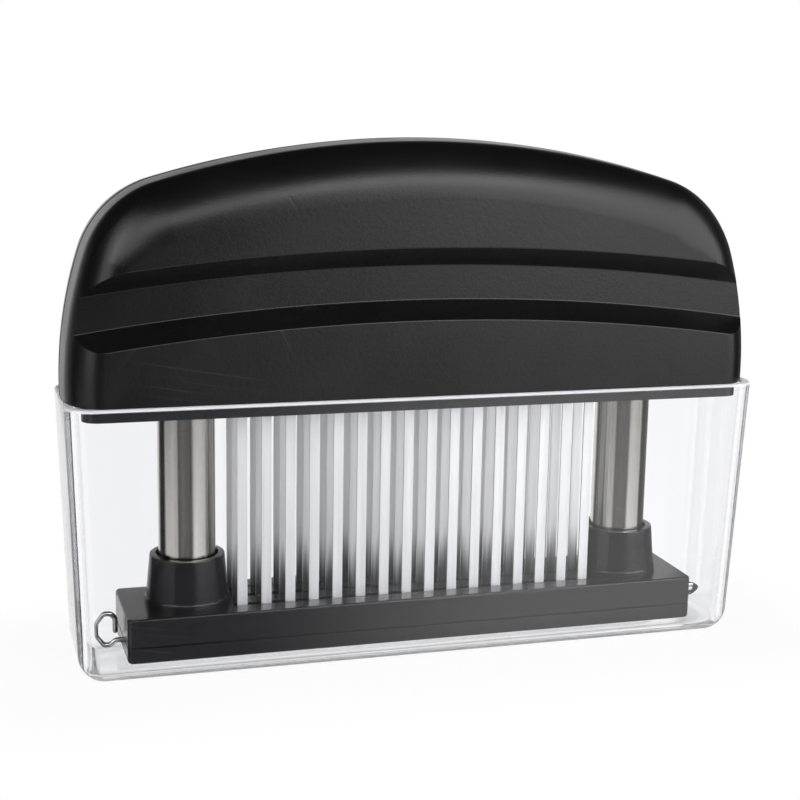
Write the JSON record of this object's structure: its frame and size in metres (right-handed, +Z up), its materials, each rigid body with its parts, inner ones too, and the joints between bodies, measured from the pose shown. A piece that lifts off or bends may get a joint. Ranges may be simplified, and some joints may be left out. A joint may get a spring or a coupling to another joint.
{
  "type": "blade meat tenderizer",
  "caption": "Hand blade meat tenderizer with an arched black handle, sprung foot on two posts, three rows of flat blades, and a clear open storage cover it stands in.",
  "frame": {"origin": "middle of the cover's underside, on the surface it stands on", "axes": "+X along the blade rows, +Z up, front of the tool towards -Y"},
  "size_m": [0.15, 0.0318, 0.1106],
  "materials": {
    "handle_black": "satin black moulded ABS",
    "foot_black": "glossy black moulded ABS",
    "plate_black": "satin black moulded ABS",
    "carrier_grey": "matt dark grey",
    "clear_cover": "clear polished styrene",
    "blade_steel": "bright rolled stainless strip",
    "post_steel": "polished stainless tube",
    "spring_steel": "drawn spring wire",
    "pin_steel": "bent bright wire",
    "fastener_steel": "zinc plated",
    "bush_white": "natural acetal",
    "inner_plastic": "moulded nylon"
  },
  "bodies": {
    "cover": {"cover": "clear_cover"},
    "handle": {"handle_front_shell": "handle_black", "handle_rear_shell": "handle_black", "base_plate": "plate_black", "blade_carrier_front": "carrier_grey", "blade_carrier_middle": "carrier_grey", "blade_carrier_rear": "carrier_grey", "blades_front": "blade_steel", "blades_middle": "blade_steel", "blades_rear": "blade_steel", "post_bush_left": "bush_white", "post_bush_right": "bush_white", "spring_left": "spring_steel", "spring_right": "spring_steel", "spring_rod_left": "inner_plastic", "spring_rod_right": "inner_plastic", "plate_screws": "fastener_steel", "carrier_bolts": "fastener_steel"},
    "foot": {"foot_guide": "foot_black", "foot_sole": "foot_black", "post_left": "post_steel", "post_right": "post_steel", "post_stop_ring_left": "fastener_steel", "post_stop_ring_right": "fastener_steel", "post_plug_left": "inner_plastic", "post_plug_right": "inner_plastic"},
    "ring_pin_left": {"ring_pin_left": "pin_steel"},
    "ring_pin_right": {"ring_pin_right": "pin_steel"}
  },
  "joints": [
    {"name": "tool_lift", "type": "slide", "parent": "cover", "child": "handle", "axis": [0, 0, 1], "range_m": [0, 0.075]},
    {"name": "foot_press", "type": "slide", "parent": "handle", "child": "foot", "axis": [0, 0, 1], "range_m": [0, 0.031], "stiffness_N_per_m": 1000, "springref_m": -0.01, "deforming": ["spring_left", "spring_right"]},
    {"name": "ring_pin_left_pull", "type": "slide", "parent": "foot", "child": "ring_pin_left", "axis": [-1, 0, 0], "range_m": [0, 0.0015]},
    {"name": "ring_pin_right_pull", "type": "slide", "parent": "foot", "child": "ring_pin_right", "axis": [1, 0, 0], "range_m": [0, 0.0015]}
  ]
}
